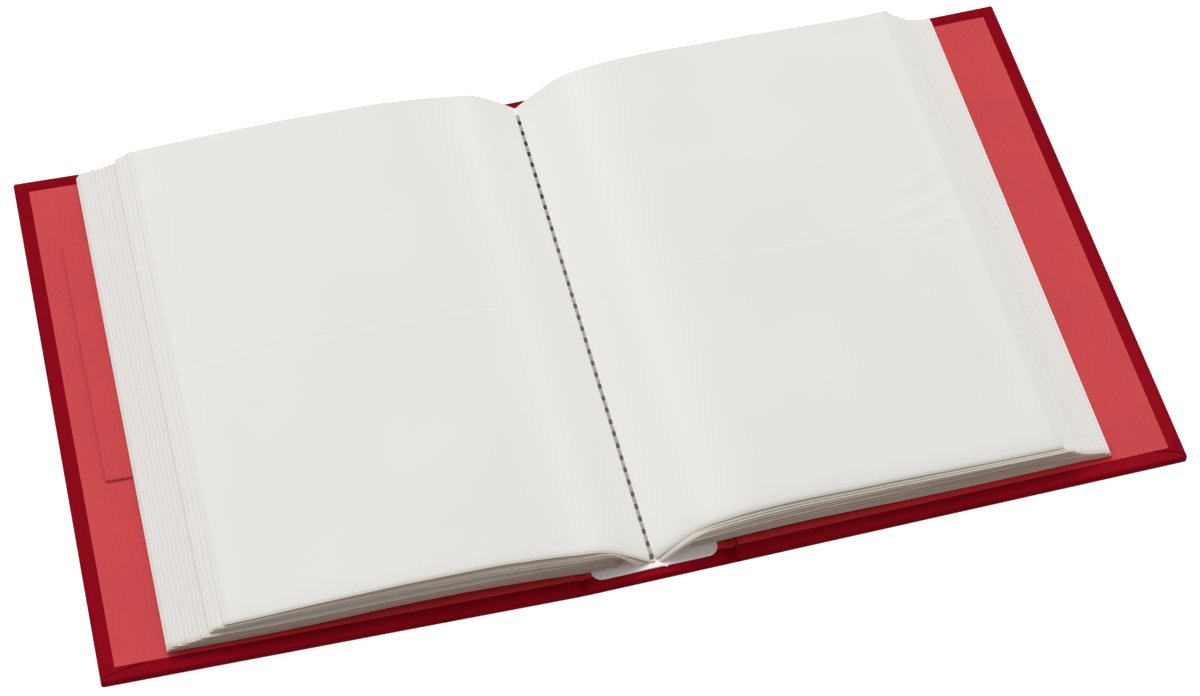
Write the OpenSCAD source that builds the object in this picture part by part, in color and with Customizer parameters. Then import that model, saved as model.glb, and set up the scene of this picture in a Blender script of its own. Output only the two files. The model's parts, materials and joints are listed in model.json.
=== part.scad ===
// A book-bound pocket album, lying open at its middle.
// X runs across the open album, Y runs up the spine towards the head, and Z is up.
// The origin is on the table, under the middle of the spine.

/* [Covers] */
// Height of the covers, from head to tail
cover_h = 225; // [190:1:300]
// Width of a cover, from its joint to its fore-edge
cover_w = 171; // [165:1:240]
// Distance between the two joints, which is the width of the spine
spine_w = 54.6; // [50:0.2:80]
// Thickness of the cover and spine boards
board_t = 2.6; // [2:0.1:3.2]
// Thickness of the book cloth, and of the infill card and lining that level it
cloth_t = 0.4; // [0.2:0.05:0.6]
// Width of the cloth turned over onto the inside of the boards
turn_in = 15; // [8:1:25]
// Width of the flexible groove between a cover board and the spine board
groove_w = 5; // [3:0.5:7]
// Angle at which the stiff joint holds the front cover above the table
front_lift = 3.8; // [0:0.1:6]

/* [Endpapers] */
// Thickness of the endpapers
paper_t = 0.2; // [0.1:0.05:0.4]
// Cloth left showing along the fore-edge
fore_margin = 5.5; // [3:0.5:12]
// Cloth left showing along head and tail
end_margin = 5.3; // [3:0.5:12]
// How far an endpaper runs in over the spine board
paper_reach = 8; // [4:0.5:14]

/* [Front pocket] */
// Width of the pocket, across the front cover
pocket_w = 138; // [80:1:150]
// Height of the pocket
pocket_h = 109; // [60:1:160]
// Distance from the endpaper's fore-edge to the pocket's open edge
pocket_inset = 8.6; // [4:0.2:14]
// Height of the pocket's middle above the middle of the cover
pocket_rise = 23; // [-20:1:40]
// Width of the pocket's glued flaps
pocket_flap = 9; // [5:1:20]
// Thickness of the pocket's paper
pocket_t = 0.25; // [0.15:0.05:0.4]

/* [Binding plate] */
// Width of the binding plate
plate_w = 46.4; // [42:0.2:48]
// Height of the binding plate
plate_h = 219; // [200:1:224]
// Thickness of the binding plate
plate_t = 0.8; // [0.5:0.1:1.5]
// Radius of the plate's corners
plate_r = 4; // [1:0.5:8]

/* [Leaves] */
// Width of a leaf, from its fold to its fore-edge
leaf_w = 156; // [130:1:158]
// Height of a leaf
leaf_h = 215; // [180:1:218]
// Thickness of a leaf
leaf_t = 0.25; // [0.15:0.05:0.3]
// Distance of the leaves' middle above the middle of the covers
leaf_shift = 2; // [-2:0.5:2]
// Folded sheets in the left and right sections
side_sheets = 8; // [4:1:9]
// Folded sheets in the centre section
centre_sheets = 9; // [4:1:9]
// Distance between the seams of two sections
section_pitch = 16; // [15:0.5:17]

/* [Seams] */
// Distance from one stitch to the next
stitch_pitch = 5.4; // [4:0.1:9]
// Length of thread that shows in a stitch
stitch_l = 3.2; // [2:0.1:3.8]
// Width of the thread
thread_w = 0.9; // [0.5:0.1:1.2]
// Thickness of the thread
thread_t = 0.25; // [0.1:0.05:0.25]
// Length of the seams
seam_h = 215; // [150:1:216]

/* [Lie of the leaves] */
// Height that one leaf takes up at the fold of the left section
left_root_pitch = 0.45; // [0.36:0.01:0.46]
// Height that one leaf takes up at the fore-edge of the left section
left_fore_pitch = 0.32; // [0.3:0.01:0.5]
// Height that one leaf takes up at the fold of the right section
right_root_pitch = 0.38; // [0.36:0.01:0.46]
// Height that one leaf takes up at the fore-edge of the right section
right_fore_pitch = 0.32; // [0.3:0.01:0.5]
// Height that one leaf takes up where the centre section leaves the gutter, on the left
left_centre_pitch = 0.7; // [0.5:0.02:0.9]
// Height that one leaf takes up where the centre section leaves the gutter, on the right
right_centre_pitch = 0.78; // [0.5:0.02:0.9]
// Height that one leaf takes up at the fore-edges of the centre section
centre_fore_pitch = 0.58; // [0.5:0.02:0.8]
// Width over which the top leaf curves up out of the gutter
gutter_w = 22; // [18:0.5:24]
// Width over which the lowest leaf of the centre section curves up
inner_gutter_w = 10; // [8:0.5:14]

/* [Hidden] */
$fn = 64;
side_names = ["left", "right"];

// Heights in the spine, from the table up
case_t = board_t + 2 * cloth_t;
paper_top = case_t + paper_t;
plate_top = paper_top + plate_t;
pocket_top = paper_top + 2 * pocket_t;

// The joints
joint_x = spine_w / 2;
joint_z = 1.5;
spine_half = joint_x - groove_w / 2;
board_in = groove_w / 2;
// How far the joint's cloth is pressed up into the groove, and how far the paper stays above the pivot
cloth_sink = 0.7;
paper_clear = 0.3;

// How far a cut runs past the face that it opens
cut_past = 1;

// Clearances
skin_gap = 0.1;
lay_gap = 0.3;
// Room between a side section and the centre section's leaves over it
section_gap = 0.8;
// Room left over the pocket, so that the front cover can be pressed flat to the table
flat_room = 1.0;

// The centre section's fold, and where its leaves start
fold_half = 0.9;
fold_leaf_t = 0.1;
fold_top = plate_top + centre_sheets * fold_leaf_t;
root_x = fold_half + lay_gap;
root_pitch = 0.6;
// The stiff root of the centre leaves stops this far short of the gutter's end
root_short = 1;
split_x = root_x + gutter_w - root_short;
split_gap = 0.3;
arc_steps = 8;
curve_steps = 13;
run_steps = 3;

// Film layers of a side section, and the middle of its fold's curve
side_layers = 2 * side_sheets;
fold_inset = 1.1;
fold_x = section_pitch - fold_inset;

cloth_red = [0.47, 0.0, 0.07];
coral = [0.80, 0.30, 0.32];
film_white = [0.92, 0.92, 0.90];
plate_white = [0.85, 0.83, 0.81];
board_grey = [0.62, 0.60, 0.55];
thread_grey = [0.70, 0.68, 0.66];

// ---- Curves of the leaves, as points [distance from the spine's middle, height] ----

// Top of what a side section lies on, at distance d: the plate, then the cover
function lift_of(left) = left ? front_lift : 0;
function cover_rest(left) = left ? pocket_top + flat_room : paper_top + lay_gap;
function cover_line(d, left) =
    let (a = lift_of(left), h = cover_rest(left) - joint_z)
    joint_z + h / cos(a) + (d - joint_x) * tan(a);
function slump(d, left) =
    let (drop = max(0, plate_top + lay_gap - cover_line(joint_x, left)))
    drop * max(0, min(1, (2 * joint_x - d) / joint_x));
function base_z(d, left) = d <= joint_x
    ? max(plate_top + lay_gap, cover_line(joint_x, left))
    : max(cover_line(d, left) + slump(d, left), cover_line(d, left));

// How far along the leaf a distance is, from 0 at the fold to 1 at the fore-edge
function along(d) = max(0, min(1, (d - section_pitch) / leaf_w));
function mix(a, b, t) = a + (b - a) * t;
function side_pitch(d, left) = left
    ? mix(left_root_pitch, left_fore_pitch, along(d))
    : mix(right_root_pitch, right_fore_pitch, along(d));
function side_z(d, layer, left) = base_z(d, left) + (layer + 0.5) * side_pitch(d, left);

function centre_pitch(d, left) = left
    ? mix(left_centre_pitch, centre_fore_pitch, along(d))
    : mix(right_centre_pitch, centre_fore_pitch, along(d));
// Leaf 1 of the centre section is the top one
function centre_run_z(d, leaf, left) =
    base_z(d, left) + side_layers * side_pitch(d, left) + section_gap
    + (centre_sheets - leaf + 0.5) * centre_pitch(d, left);
function leaf_root(leaf) = root_x + (leaf - 1) * root_pitch;
function leaf_share(leaf) = (leaf - 1) / max(1, centre_sheets - 1);
function leaf_gutter(leaf) = mix(gutter_w, inner_gutter_w, leaf_share(leaf));
function root_z() = plate_top + lay_gap + leaf_t / 2;
function centre_z(d, leaf, left) =
    let (u = min(1, (d - leaf_root(leaf)) / leaf_gutter(leaf)))
    mix(root_z(), centre_run_z(d, leaf, left), sin(90 * u));

function path_len(p, i = 0) = i >= len(p) - 1 ? 0 : norm(p[i + 1] - p[i]) + path_len(p, i + 1);

function steps_between(a, b, n) = [for (i = [0:n]) mix(a, b, i / n)];
function roots_path(leaf, left) =
    [for (d = steps_between(leaf_root(leaf), split_x, curve_steps)) [d, centre_z(d, leaf, left)]];
function run_path(leaf, left) =
    let (used = leaf_root(leaf) + path_len(roots_path(leaf, left)))
    let (fore = split_x + leaf_w - used)
    [for (d = steps_between(split_x + split_gap, fore, run_steps + 1)) [d, centre_z(d, leaf, left)]];

// A folded sheet of a side section: sheet 1 is the outermost
function side_run(from, to, layer, left) =
    [for (d = concat([from], [joint_x + groove_w], steps_between(2 * joint_x, to, run_steps)))
        [d, side_z(d, layer, left)]];
function sheet_path(sheet, left) =
    let (low = sheet - 1)
    let (high = side_layers - sheet)
    let (z_low = side_z(fold_x, low, left))
    let (z_high = side_z(fold_x, high, left))
    let (r = (z_high - z_low) / 2)
    let (used = fold_inset + PI * r)
    let (arc = [for (i = [1:arc_steps - 1])
        let (a = 180 * i / arc_steps) [fold_x - r * sin(a), z_low + r - r * cos(a)]])
    concat(
        reverse_of(side_run(fold_x, section_pitch + leaf_w, low, left)),
        arc,
        side_run(fold_x, fold_x + leaf_w - used, high, left)
    );
function reverse_of(p) = [for (i = [len(p) - 1:-1:0]) p[i]];

// A strip of even thickness along a path
function unit(v) = v / norm(v);
function heading(p, i) = unit(p[min(i + 1, len(p) - 1)] - p[max(i - 1, 0)]);
function beside(p, i, t) = let (h = heading(p, i)) p[i] + t * [-h[1], h[0]];
function strip(p, t) = concat(
    [for (i = [0:len(p) - 1]) beside(p, i, t / 2)],
    [for (i = [len(p) - 1:-1:0]) beside(p, i, -t / 2)]
);

// ---- Shared shapes ----

// A profile drawn as [x, z], made h long up the spine
module along_spine(h) {
    rotate([90, 0, 0])
        linear_extrude(height = h, center = true)
            children();
}

// Mirrors its children to the left half of the album
module on_side(left) {
    if (left) mirror([1, 0, 0]) children();
    else children();
}

// Tilts the front half's cover parts up about their joint
module on_cover(left) {
    on_side(left)
        translate([joint_x, 0, joint_z])
            rotate([0, -lift_of(left), 0])
                translate([0, 0, -joint_z])
                    children();
}
// Where a point of the cover, given from its joint line, lies in the album
function cover_point(d, z, left) =
    let (a = lift_of(left), h = z - joint_z)
    [joint_x + d * cos(a) - h * sin(a), joint_z + d * sin(a) + h * cos(a)];

// A block from x0 to x1, h high in Y, from z0 to z1
module slab(x0, x1, h, z0, z1) {
    translate([x0, -h / 2, z0])
        cube([x1 - x0, h, z1 - z0]);
}

module film_strip(path) {
    translate([0, leaf_shift, 0])
        along_spine(leaf_h)
            polygon(strip(path, leaf_t));
}

// ---- Case ----

module board(left) {
    color(board_grey)
        on_cover(left)
            slab(board_in, cover_w - cloth_t, cover_h - 2 * cloth_t, cloth_t, cloth_t + board_t);
}

// Book cloth on a cover board: the outer face, three edges and the turned-in margins
module cover_cloth(left) {
    color(cloth_red)
        on_cover(left)
            difference() {
                slab(board_in, cover_w, cover_h, 0, case_t);
                slab(board_in - cut_past, cover_w - cloth_t, cover_h - 2 * cloth_t, cloth_t, cloth_t + board_t);
                slab(board_in - cut_past, cover_w - turn_in, cover_h - 2 * turn_in, cloth_t, case_t + cut_past);
            }
}

module infill(left) {
    color(board_grey)
        on_cover(left)
            slab(board_in, cover_w - turn_in, cover_h - 2 * turn_in, case_t - cloth_t, case_t);
}

module spine_board() {
    color(board_grey)
        slab(-spine_half, spine_half, cover_h - 2 * cloth_t, cloth_t, cloth_t + board_t);
}

module spine_cloth() {
    color(cloth_red)
        difference() {
            slab(-spine_half, spine_half, cover_h, 0, case_t);
            slab(-spine_half - cut_past, spine_half + cut_past, cover_h - 2 * cloth_t, cloth_t, cloth_t + board_t);
            slab(-spine_half - cut_past, spine_half + cut_past, cover_h - 2 * turn_in, cloth_t, case_t + cut_past);
        }
}

module spine_lining() {
    color(board_grey)
        slab(-spine_half, spine_half, cover_h - 2 * turn_in, case_t - cloth_t, case_t);
}

// The bending cloth of a joint, sunk into the groove between the boards
module joint_cloth(left) {
    level = cloth_t / 2;
    swell = [0, cloth_sink / 7];
    from = [spine_half + skin_gap, level];
    dip = [joint_x, level + cloth_sink];
    to = cover_point(board_in - skin_gap, level, left);
    color(cloth_red)
        on_side(left)
            along_spine(cover_h)
                polygon(strip([from, (from + dip) / 2 + swell, dip, (dip + to) / 2 + swell, to], cloth_t));
}

// ---- Endpapers ----

paper_w = cover_w - fore_margin;
paper_h = cover_h - 2 * end_margin;

module endpaper(left) {
    color(coral)
        on_cover(left)
            slab(board_in, paper_w, paper_h, case_t, paper_top);
}

// The endpaper's strip that dips into the joint and runs in under the plate
module joint_paper(left) {
    level = case_t + paper_t / 2;
    under = [spine_half - paper_reach, level];
    from = [spine_half + skin_gap, level];
    dip = [joint_x, joint_z + cloth_t + paper_clear];
    to = cover_point(board_in - skin_gap, level, left);
    color(coral)
        on_side(left)
            along_spine(paper_h)
                polygon(strip([under, from, dip, to], paper_t));
}

// A flat pocket, glued down on three sides and open towards the fore-edge
module front_pocket() {
    open_x = paper_w - pocket_inset;
    color(coral)
        on_cover(true)
            translate([0, pocket_rise, 0])
                difference() {
                    slab(open_x - pocket_w, open_x, pocket_h, paper_top, pocket_top);
                    slab(open_x - pocket_w + pocket_flap, open_x + cut_past, pocket_h - 2 * pocket_flap,
                        paper_top - cut_past, paper_top + pocket_t);
                }
}

// ---- Binding ----

module binding_plate() {
    w = plate_w - 2 * plate_r;
    h = plate_h - 2 * plate_r;
    color(plate_white)
        translate([0, 0, paper_top])
            linear_extrude(height = plate_t) {
                square([plate_w, h], center = true);
                square([w, plate_h], center = true);
                for (x = [-w / 2, w / 2], y = [-h / 2, h / 2])
                    translate([x, y])
                        circle(r = plate_r);
            }
}

// The pressed folds of the centre section, one over the other on the plate
module centre_fold() {
    color(film_white)
        slab(-fold_half, fold_half, seam_h, plate_top, fold_top);
}

// A row of stitches along the spine, at x and on top of z
module stitches(x, z) {
    n = floor(seam_h / stitch_pitch);
    color(thread_grey)
        for (i = [0:n - 1])
            translate([x, (i - (n - 1) / 2) * stitch_pitch, z])
                translate([-thread_w / 2, -stitch_l / 2, 0])
                    cube([thread_w, stitch_l, thread_t]);
}

// ---- Leaves ----

module side_sheet(left, sheet) {
    color(film_white)
        on_side(left)
            film_strip(sheet_path(sheet, left));
}

module centre_roots(left) {
    color(film_white)
        on_side(left)
            for (leaf = [1:centre_sheets])
                film_strip(roots_path(leaf, left));
}

module centre_leaf(left, leaf) {
    color(film_white)
        on_side(left)
            film_strip(run_path(leaf, left));
}

spine_board();
spine_cloth();
spine_lining();
binding_plate();
centre_fold();
stitches(0, fold_top);  // centre_stitches
stitches(-section_pitch, plate_top);  // left_stitches
stitches(section_pitch, plate_top);  // right_stitches
joint_cloth(true);  // front_joint_cloth
joint_cloth(false);  // back_joint_cloth
joint_paper(true);  // front_joint_paper
joint_paper(false);  // back_joint_paper
board(true);  // front_board
cover_cloth(true);  // front_cloth
infill(true);  // front_infill
endpaper(true);  // front_endpaper
front_pocket();
board(false);  // back_board
cover_cloth(false);  // back_cloth
infill(false);  // back_infill
endpaper(false);  // back_endpaper
centre_roots(true);  // centre_left_roots
centre_roots(false);  // centre_right_roots
for (i = [1:side_sheets]) {
    side_sheet(true, i);
    side_sheet(false, i);
}
for (i = [1:centre_sheets]) {
    centre_leaf(true, i);
    centre_leaf(false, i);
}
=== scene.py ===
"""Dresses a cloth-bound pocket album that lies open at its middle, and sets its table and light."""

import json
import math

import bpy
import numpy as np
from bpy.props import FloatProperty, FloatVectorProperty, IntProperty, PointerProperty
from bpy.types import Operator, Panel, PropertyGroup
from mathutils import Matrix, Vector


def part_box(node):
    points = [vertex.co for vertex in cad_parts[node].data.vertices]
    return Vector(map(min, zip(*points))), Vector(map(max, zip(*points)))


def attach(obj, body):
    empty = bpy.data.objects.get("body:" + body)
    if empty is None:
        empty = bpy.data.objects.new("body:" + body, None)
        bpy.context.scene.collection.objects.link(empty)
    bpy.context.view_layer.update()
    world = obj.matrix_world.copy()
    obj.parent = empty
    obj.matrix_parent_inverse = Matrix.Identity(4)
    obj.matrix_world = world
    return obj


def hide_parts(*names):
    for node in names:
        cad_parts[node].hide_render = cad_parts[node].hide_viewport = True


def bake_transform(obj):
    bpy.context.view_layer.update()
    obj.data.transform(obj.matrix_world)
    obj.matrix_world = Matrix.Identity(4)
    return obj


bl_info = {
    "name": "Pocket Album",
    "version": (1, 0, 0),
    "blender": (4, 5, 0),
    "location": "3D View > Sidebar > Album",
    "description": "Dresses an open cloth-bound album with sewn pocket leaves",
    "category": "Add Mesh",
}

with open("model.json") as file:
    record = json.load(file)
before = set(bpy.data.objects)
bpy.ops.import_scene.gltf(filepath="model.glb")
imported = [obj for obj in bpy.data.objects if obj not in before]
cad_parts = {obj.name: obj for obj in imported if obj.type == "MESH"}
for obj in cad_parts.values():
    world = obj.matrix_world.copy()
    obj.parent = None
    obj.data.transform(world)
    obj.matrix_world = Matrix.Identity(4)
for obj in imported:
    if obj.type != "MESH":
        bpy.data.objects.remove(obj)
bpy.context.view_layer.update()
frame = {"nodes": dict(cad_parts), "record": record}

MM = 0.001
SIDES = ("left", "right")
SIGN = {"left": -1, "right": 1}
COVER_OF = {"left": "front", "right": "back"}
JOINTS = {j["name"]: j for j in frame["record"]["behaviour"]["joints"]}


def box_mm(node):
    """A node's lowest and highest corner in millimetres."""
    lo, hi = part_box(node)
    return np.array(lo) / MM, np.array(hi) / MM


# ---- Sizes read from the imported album, in millimetres ----

JOINT_X, _, JOINT_Z = (v / MM for v in JOINTS["back_cover_hinge"]["pos_m"])
# the front cover doesn't lie flat: its stiff joint holds it up
TILT = {"left": math.radians(-JOINTS["front_cover_hinge"]["range_deg"][0]), "right": 0.0}
COVER_EDGE, COVER_HALF_H, CASE_T = box_mm("back_cloth")[1]
PAPER_EDGE, PAPER_HALF_H, PAPER_TOP = box_mm("back_endpaper")[1]
# measured from the joint's axis outwards
COVER_W = COVER_EDGE - JOINT_X
PAPER_W = PAPER_EDGE - JOINT_X
BOARD_IN = box_mm("back_board")[0][0] - JOINT_X
SPINE_HALF = box_mm("spine_cloth")[1][0]
PLATE_LO, PLATE_HI = box_mm("binding_plate")
PLATE_TOP = PLATE_HI[2]
FOLD_LO, FOLD_HI = box_mm("centre_fold")
LEAF_TAIL = box_mm("right_sheet_1")[0][1]
LEAF_H = box_mm("right_sheet_1")[1][1] - LEAF_TAIL
SHEETS = sum(n.startswith("left_sheet_") for n in frame["nodes"])
LEAVES = sum(n.startswith("centre_left_leaf_") for n in frame["nodes"])

# ---- How the case is made, in millimetres ----

# how far cloth, paper and plate stand over their solids
PROUD = 0.02
# the ring that keeps the broad faces of a slab flat lies this far inside its rounded edge
FACE_RING = 0.6
# points round an edge and round a corner
EDGE_STEPS = 5
CORNER_STEPS = 6
# how far the plate and the pressed folds stop short at the head
HEAD_GAP = 1.0
# half the width of a joint's groove
JOINT_HALF = BOARD_IN - 0.1
# depth of the grooves pressed into the cloth between spine and covers, the paper's share of it,
# and how far the cloth's underside is drawn up
GROOVE = {"left": 1.0, "right": 1.45}
PAPER_GROOVE = 0.925
UNDER_GROOVE = 0.25
# how far covers, spine and paper strips reach over a joint's end
COVER_LAP = 0.6
SPINE_LAP = 0.55
STRIP_LAP = 0.7
# a covered edge wavers by so much, over such a length, in a strip of such a width
WAVER = 0.12
WAVER_L = 31.0
WAVER_W = 12
# share of the mitre's length that each cover's corner folds have
MITRE_SHARE = {"left": 1.0, "right": 0.7}
# the front pocket's width, and its distance from the endpaper's fore-edge
POCKET_W = 138.0
POCKET_INSET = 8.6
# painted shade of the endpapers along the tail, under the leaves: where it ends to the sides and from the
# tail edge, and how it fades, in metres
PAINTED_SHADE_SIDE = (0.168, 0.1745)
PAINTED_SHADE_END = (0.0058, 0.0085)
PAINTED_SHADE_FADE = (0.0008, 0.0050)

# ---- How the leaves lie: the same sizes as the solids', in millimetres ----

LEAF_W = 156.0
LEAF_T = 0.25
# height of the weld across the middle, as a share of the leaf's
MIDDLE_WELD = 0.515
SECTION_PITCH = 16.0
FOLD_INSET = 1.1
FOLD_X = SECTION_PITCH - FOLD_INSET
LAY_GAP = 0.3
POCKET_ROOM = 1.5
UNDER_SECTION = {"left": POCKET_ROOM, "right": LAY_GAP}
LEAF_FLOOR = PLATE_TOP + LAY_GAP
SECTION_GAP = 0.8
ROOT_PITCH = {"left": 0.45, "right": 0.38}
FORE_PITCH = 0.32
CENTRE_PITCH = {"left": 0.70, "right": 0.78}
CENTRE_FORE_PITCH = 0.58
GUTTER_W = (22.0, 10.0)
ROOT_X = 1.2
ROOT_STEP = 0.6
# the leaf on top closes in on the thread
TOP_ROOT_X = 0.80
# air between bundles of leaves
SIDE_AIR = 0.04
CENTRE_AIR = 0.08
# a centre leaf is plump up to this distance and flat after the run
PLUMP_END = 60
PLUMP_RUN = 80
# thickness of a drooping tail, and the height over which it droops
DROOP_T = 0.12
DROOP_H = 7
# a folded sheet's tail is cut back nearer to the fold than this distance from its fore-edge
TRIM_RUN = 30
# how far from the fold the shifted seam pulls the leaves with it
SEAM_PULL = 16

# How the opened leaves sag and arch: distance from the fold, rise of the top leaf
ARCH = {
    "left": (
        (0, 0), (10, -1.5), (20, -1.4), (34, 0.3), (55, 1.5),
        (90, 1.3), (126, -0.4), (153, -2.4), (160, -2.6),
    ),
    "right": (
        (0, 0), (10, -1.2), (20, 0.2), (35, 2.3), (54, 3.0),
        (75, 2.2), (90, 2.0), (115, 1.1), (146, 0.1), (160, 0),
    ),
}
# How far the lowest leaf stands off the endpaper, bowed over the joint
BOW = {
    "left": ((0, 0), (23, 1.0), (40, 2.6), (63, 3.8), (92, 3.3), (117, 1.6), (145, 0.5), (160, 0)),
    "right": ((0, 0), (24, 0.2), (40, 1.2), (56, 2.0), (76, 1.3), (98, 0.4), (121, 0), (160, 0)),
}
# How the leaves fan: distance from the fold, slip of the leaf towards the head
SLIP = ((0, -1.7), (20, -0.8), (40, 0.0), (60, 0.5), (160, 0.6))

# Folded sheets: how far the tail is shifted, and cut back near the fold; then the lowest sheet's
SHEET_TAIL = {"left": (-0.7, -0.5), "right": (0.0, 2.3)}
LOWEST_TAIL = {"left": (-0.7, -0.6), "right": (0.5, 0.0)}
# how far the lowest sheet's two leaves jut out, and what is added up to the highest sheet
SHEET_JUT = {"left": ((1.8, 0.6), (-1.6, 1.5)), "right": ((-0.4, -0.3), (-0.9, 0.5))}

# Centre leaves, counted from the top: tails that are listed one by one, and the shift of all others
SET_TAIL = {"left": {1: 0.0, 4: -0.5}, "right": {1: 0.0, 2: 0.0, 3: 0.0, 4: -0.7}}
LEAF_SHIFT = {"left": 0.0, "right": -0.2}
# how far the tail is cut back, and how far it droops on to the next leaf
LEAF_TRIM = {"left": {}, "right": {1: 0.9, 3: -0.7}}
LEAF_SAG = {"left": {1: 0.45, 2: 0.275, 3: 0.1}, "right": {1: 0.9, 2: 0.55, 3: 0.2}}
RIBBED_LEAVES = (1, 4)
# creases of the right top leaf: distance from the fold, height over the tail, slant and depth
CREASES = ((140, 128, 0.35, 0.42), (137, 117, 0.30, 0.46), (143, 107, 0.42, 0.34))

# ---- Stage: the floor in millimetres, the rest in metres ----

FLOOR_HALF = 4000.0
FLOOR_Z = -0.05
KEY_LAMP_AT = (-0.25, 1.9, 3.7)
KEY_LAMP_SIZE = 3.0
CAMERA_AT = (-0.14055, -0.64356, 0.92637)
# the camera's right, up and backward directions
CAMERA_AXES = (
    (0.969872, -0.243161, -0.014867),
    (0.207325, 0.791814, 0.574497),
    (-0.127923, -0.560271, 0.818371),
)
WHITE = (1, 1, 1, 1)


# ---- Properties ----


def colour(name, description, default):
    """A colour property."""
    return FloatVectorProperty(
        name=name, description=description, subtype="COLOR", size=3, min=0, max=1, default=default
    )


def length(name, description, millimetres):
    """A length property, kept in metres."""
    return FloatProperty(
        name=name, description=description, unit="LENGTH", min=0, default=millimetres * MM, precision=5
    )


def level(name, description, default, **more):
    """A plain number above nought."""
    return FloatProperty(name=name, description=description, default=default, **{"min": 0, **more})


class CaseSettings(PropertyGroup):
    """Cloth, board and endpapers of the case."""

    cloth_colour: colour("Cloth", "Colour of the book cloth", (0.252, 0.0013, 0.0088))
    # lighter cloth at the sharp edges: partly wear, partly a painted highlight where the edges catch the
    # light
    worn_and_lit_colour: colour("Worn cloth", "Colour of the cloth where it is rubbed", (0.36, 0.006, 0.014))
    coral: colour("Endpaper", "Colour of the endpapers", (0.60, 0.069, 0.077))
    board_colour: colour("Board", "Colour of the raw board", (0.34, 0.32, 0.27))
    edge_round: length("Edge rounding", "Rounding of the cloth over the board's edges", 0.7)
    corner_round: length("Corner rounding", "Rounding of a cover's corner, seen from above", 0.9)
    weave_pitch: length("Weave pitch", "Distance between two threads of the cloth", 0.36)
    mitre_reach: length("Mitre reach", "Length of the corner fold along head and tail", 17.0)
    mitre_t: length("Mitre thickness", "Thickness of the cloth at the corner fold", 0.45)


class BindingSettings(PropertyGroup):
    """Plate and seams."""

    plate_colour: colour("Plate", "Colour of the binding plate", (0.90, 0.845, 0.845))
    thread_colour: colour("Thread", "Colour of the thread", (0.38, 0.36, 0.335))
    # painted shade: the needle slots are dark patches laid over the folds and plate, standing in for the
    # shade inside the holes
    slot_shade_colour: colour("Needle slots", "Colour of the needle slots", (0.135, 0.110, 0.098))
    stitch_pitch: length("Stitch pitch", "Distance from one stitch to the next", 5.4)
    stitch_l: length("Stitch length", "Length of thread that shows", 3.3)
    thread_w: length("Thread width", "Width of the flattened thread", 1.3)
    slot_l: length("Slot length", "Length of a needle slot", 2.15)
    slot_w: length("Slot width", "Width of a needle slot", 1.4)
    seam_shift: length("Seam offset", "How far the middle seam lies towards the front cover", 0.9)
    plate_round: length("Plate corner", "Radius of the plate's corners", 4.0)


class LeafSettings(PropertyGroup):
    """Film leaves."""

    film_colour: colour("Film", "Colour of the film, several leaves deep", (0.765, 0.757, 0.728))
    rim_colour: colour("Film edge", "Colour of the centre leaves' cut edges", (0.90, 0.70, 0.585))
    # painted shade, and for the front sheets a painted red reflection of the case: the side sections' cut
    # edges are darker than the centre leaves'
    front_shaded_rim_colour: colour(
        "Front film edge", "Colour of the cut edges of the sheets by the front cover", (0.45, 0.235, 0.19)
    )
    back_shaded_rim_colour: colour(
        "Back film edge", "Colour of the cut edges of the sheets by the back cover", (0.79, 0.57, 0.45)
    )
    film_t: length("Film thickness", "Thickness of a leaf of two films", 0.18)
    pocket_t: length("Pocket thickness", "Thickness of a centre leaf near the spine", 0.42)
    corner_round: length("Leaf corner", "Radius of a leaf's outer corners", 0.5)
    weld_h: length("Weld height", "Height of the ribbed weld along the tail", 2.4)
    rib_pitch: length("Rib pitch", "Distance between two ribs of the weld", 0.78)
    rib_depth: length("Rib depth", "Depth of the weld's ribs", 0.07)
    seed: IntProperty(name="Seed", description="Picks how the leaves stagger", default=7, min=0)


class StageSettings(PropertyGroup):
    """Floor, light and camera."""

    floor_colour: colour("Floor", "Colour of the floor", (0.50, 0.50, 0.50))
    world_strength: level("Room light", "Strength of the room's light", 0.49)
    key_power: level("Key light", "Power of the large lamp", 109, unit="POWER")
    floor_glow: level("Floor glow", "How white the floor looks to the camera", 0.90)
    lens: level("Lens", "Focal length of the camera", 90.68, min=1)


def settings(part):
    """A settings group of the scene."""
    return getattr(bpy.context.scene, "album_" + part)


def mm(value):
    """A length in millimetres."""
    return value / MM


# ---- Numbers and curves ----


def lerp(a, b, t):
    """The value a share t of the way from a to b."""
    return a + (b - a) * t


def ramp(x, start, run):
    """Rises from 0 at start to 1 after the run."""
    return np.clip((x - start) / run, 0, 1)


def ease(t):
    """A share between 0 and 1 that starts and ends gently."""
    return t * t * (3 - 2 * t)


def bell(t, width):
    """A hump of height 1 round nought."""
    return np.exp(-np.square(t / width))


def quarter(steps, start=0):
    """Angles over a quarter turn."""
    return [math.radians(start + 90 * k / steps) for k in range(steps + 1)]


def spread(edges, steps):
    """Rising numbers that fill each stretch between the edges with its own step."""
    out = [edges[0]]
    for a, b, step in zip(edges, edges[1:], steps):
        n = max(1, int(round((b - a) / step)))
        out += list(np.linspace(a, b, n + 1)[1:])
    return np.array(out)


def eased(table, d):
    """A smooth curve through a table of places and values."""
    x, y = np.array(table, float).T
    fine = np.linspace(x[0], x[-1], 321)
    raw = np.interp(fine, x, y)
    reach = 20
    kernel = np.hanning(2 * reach + 1)
    smooth = np.convolve(np.pad(raw, reach, mode="edge"), kernel / kernel.sum(), mode="valid")
    smooth += (raw[0] - smooth[0]) * np.clip(1 - (fine - x[0]) / 10, 0, 1)
    return np.interp(d, fine, smooth)


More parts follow.
